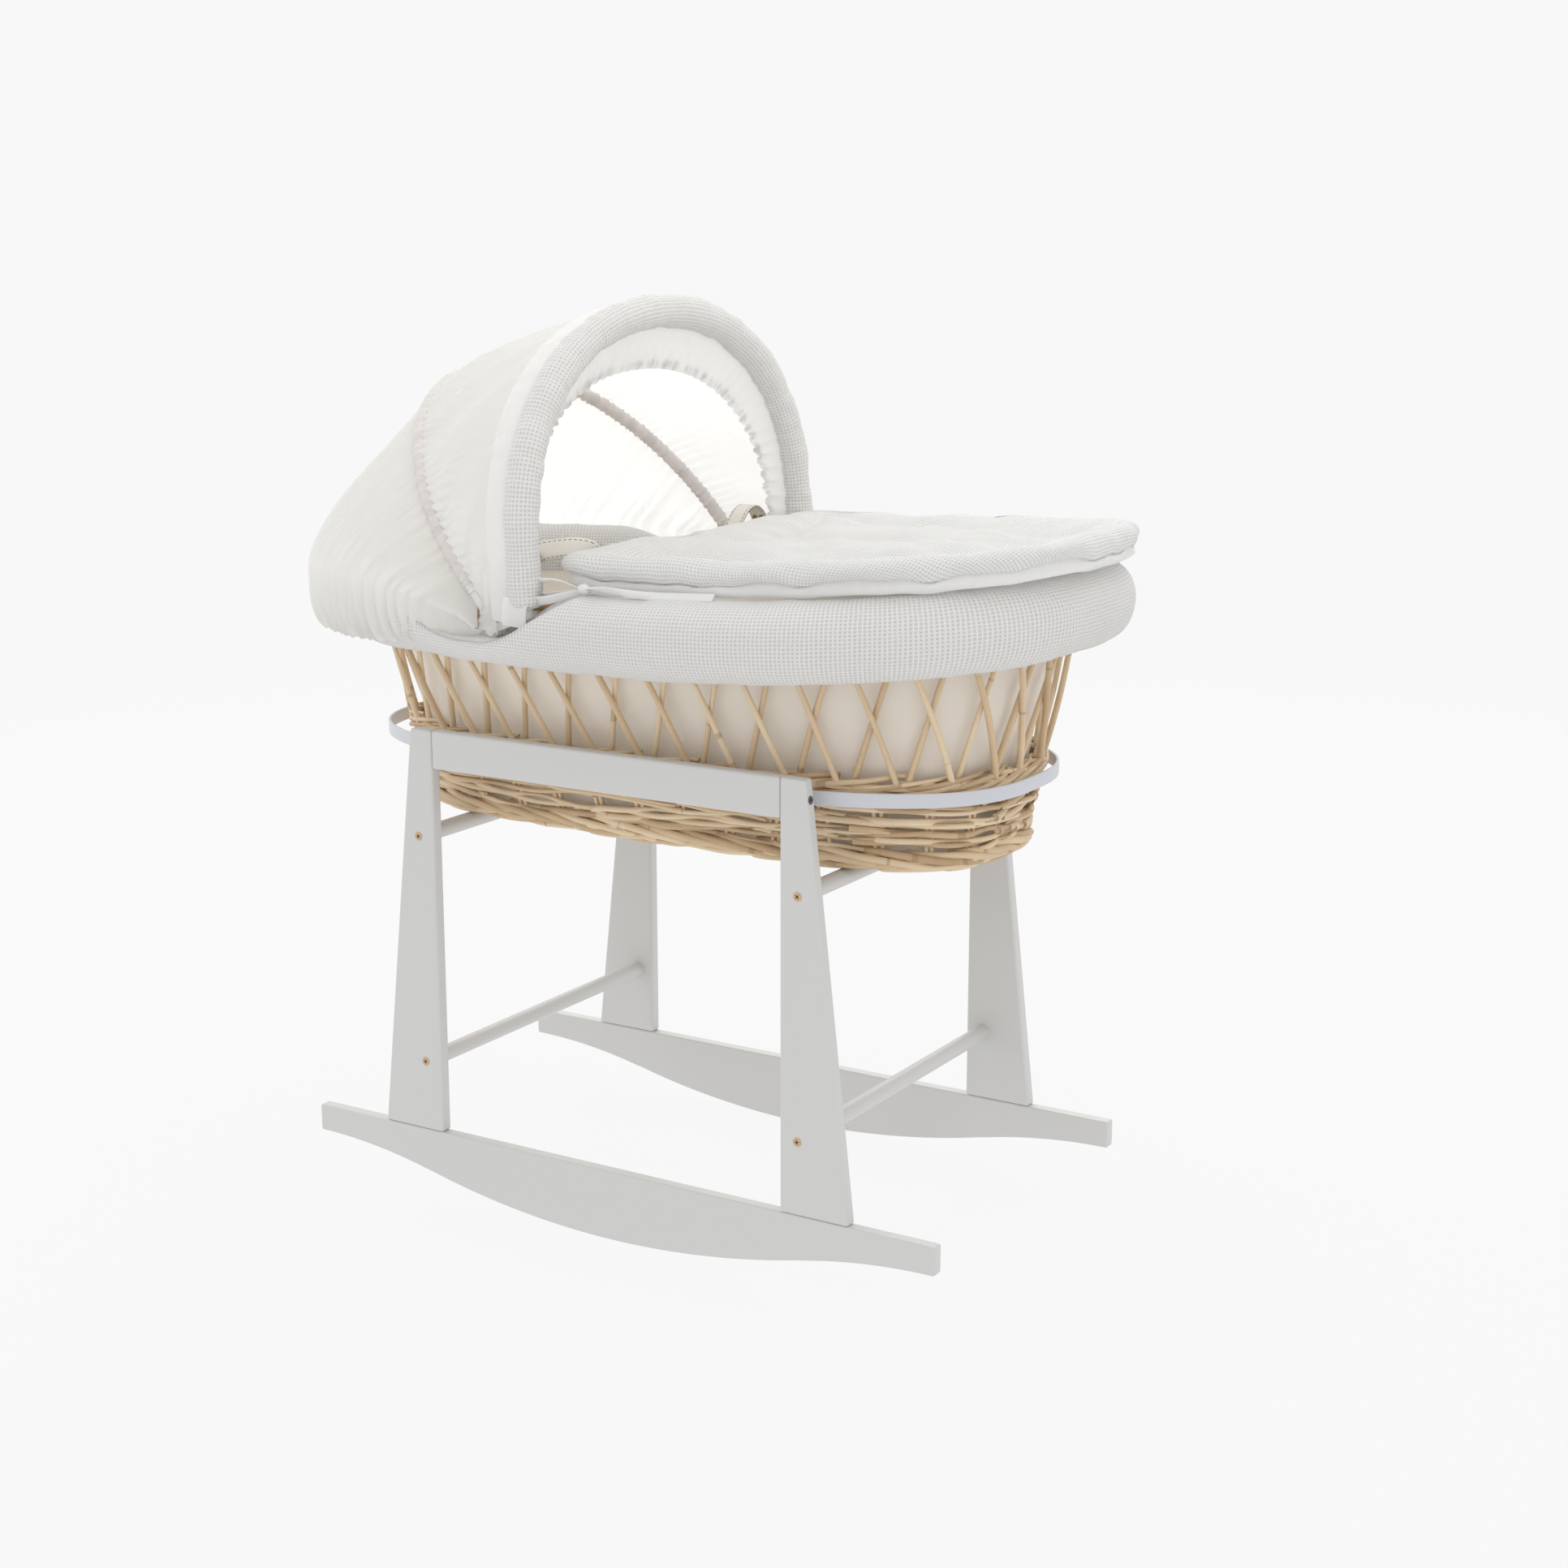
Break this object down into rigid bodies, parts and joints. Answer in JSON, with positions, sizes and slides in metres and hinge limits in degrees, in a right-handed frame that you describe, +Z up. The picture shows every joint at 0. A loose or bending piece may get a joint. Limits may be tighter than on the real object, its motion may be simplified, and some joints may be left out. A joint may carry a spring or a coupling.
{
  "type": "moses basket on rocking stand",
  "caption": "Oval wicker Moses basket with folding fabric hood, padded bumper, coverlet and leather handles, resting on a white wooden rocking stand with a steel hoop.",
  "frame": {"origin": "on the floor, under the middle of the whole object", "axes": "+Z up, +X towards the foot end (the hood is at -X), -Y the near side of the stand"},
  "size_m": [0.938, 0.5904, 0.9939],
  "materials": {
    "white_paint": "satin",
    "brass_screws": "satin",
    "dark_steel": "satin",
    "pale_wood": "matte",
    "white_band": "satin",
    "band_screws": "satin",
    "willow": "satin",
    "mattress_cloth": "matte",
    "liner_cloth": "matte",
    "waffle_cloth": "matte",
    "binding_cloth": "matte",
    "white_plastic": "satin",
    "hoop_wood": "matte",
    "leather": "satin",
    "rivets": "satin"
  },
  "bodies": {
    "stand": {"rocker_near": "white_paint", "rocker_far": "white_paint", "leg_near_head": "white_paint", "leg_near_foot": "white_paint", "leg_far_head": "white_paint", "leg_far_foot": "white_paint", "rail_near": "white_paint", "rail_far": "white_paint", "upper_dowel_head": "white_paint", "upper_dowel_foot": "white_paint", "lower_dowel_head": "white_paint", "lower_dowel_foot": "white_paint", "dowel_screws": "brass_screws", "rail_bolts": "dark_steel", "barrel_nuts": "dark_steel", "leg_pins": "pale_wood", "band_head": "white_band", "band_foot": "white_band", "band_screws": "band_screws"},
    "basket": {"basket_base": "willow", "base_border": "willow", "side_weave": "willow", "upper_waling": "willow", "lattice_outer": "willow", "lattice_inner": "willow", "basket_rim": "willow", "mattress": "mattress_cloth", "liner": "liner_cloth", "bumper": "waffle_cloth", "tie_near": "binding_cloth", "tie_far": "binding_cloth", "hood_clip_near": "white_plastic", "hood_clip_far": "white_plastic"},
    "handle_near": {"handle_near": "leather", "handle_rivets_near": "rivets"},
    "handle_far": {"handle_far": "leather", "handle_rivets_far": "rivets"},
    "coverlet": {"coverlet": "waffle_cloth"},
    "hood_rear": {"rear_arm_near": "white_plastic", "rear_arm_far": "white_plastic", "rear_hoop": "hoop_wood", "rear_sleeve": "binding_cloth", "hood_back_panel": "waffle_cloth"},
    "hood_front": {"front_arm_near": "white_plastic", "front_arm_far": "white_plastic", "front_hoop": "hoop_wood", "front_roll": "waffle_cloth", "front_sleeve": "waffle_cloth", "hood_frill": "binding_cloth", "hood_top_panel": "waffle_cloth"}
  },
  "joints": [
    {"name": "basket_lift", "type": "slide", "parent": "stand", "child": "basket", "axis": [0, 0, 1], "range_m": [0, 0.45]},
    {"name": "coverlet_lift", "type": "slide", "parent": "basket", "child": "coverlet", "axis": [0, 0, 1], "range_m": [0, 0.25]},
    {"name": "handle_near_swing", "type": "hinge", "parent": "basket", "child": "handle_near", "pos_m": [0.008, -0.236, 0.709], "axis": [1, 0, 0], "range_deg": [0, 45], "deforming": ["coverlet", "hood_frill"]},
    {"name": "handle_far_swing", "type": "hinge", "parent": "basket", "child": "handle_far", "pos_m": [0.008, 0.236, 0.709], "axis": [1, 0, 0], "range_deg": [-45, 0], "deforming": ["coverlet", "hood_frill"]},
    {"name": "hood_rear_fold", "type": "hinge", "parent": "basket", "child": "hood_rear", "pos_m": [-0.098, 0, 0.662], "axis": [0, -1, 0], "range_deg": [0, 31], "deforming": ["hood_back_panel", "hood_top_panel"]},
    {"name": "hood_front_fold", "type": "hinge", "parent": "hood_rear", "child": "hood_front", "pos_m": [-0.098, 0, 0.662], "axis": [0, -1, 0], "range_deg": [0, 31], "deforming": ["hood_top_panel"]}
  ],
  "couplings": [
    {"joint": "hood_front_fold", "follows": "hood_rear_fold", "ratio": 1}
  ]
}
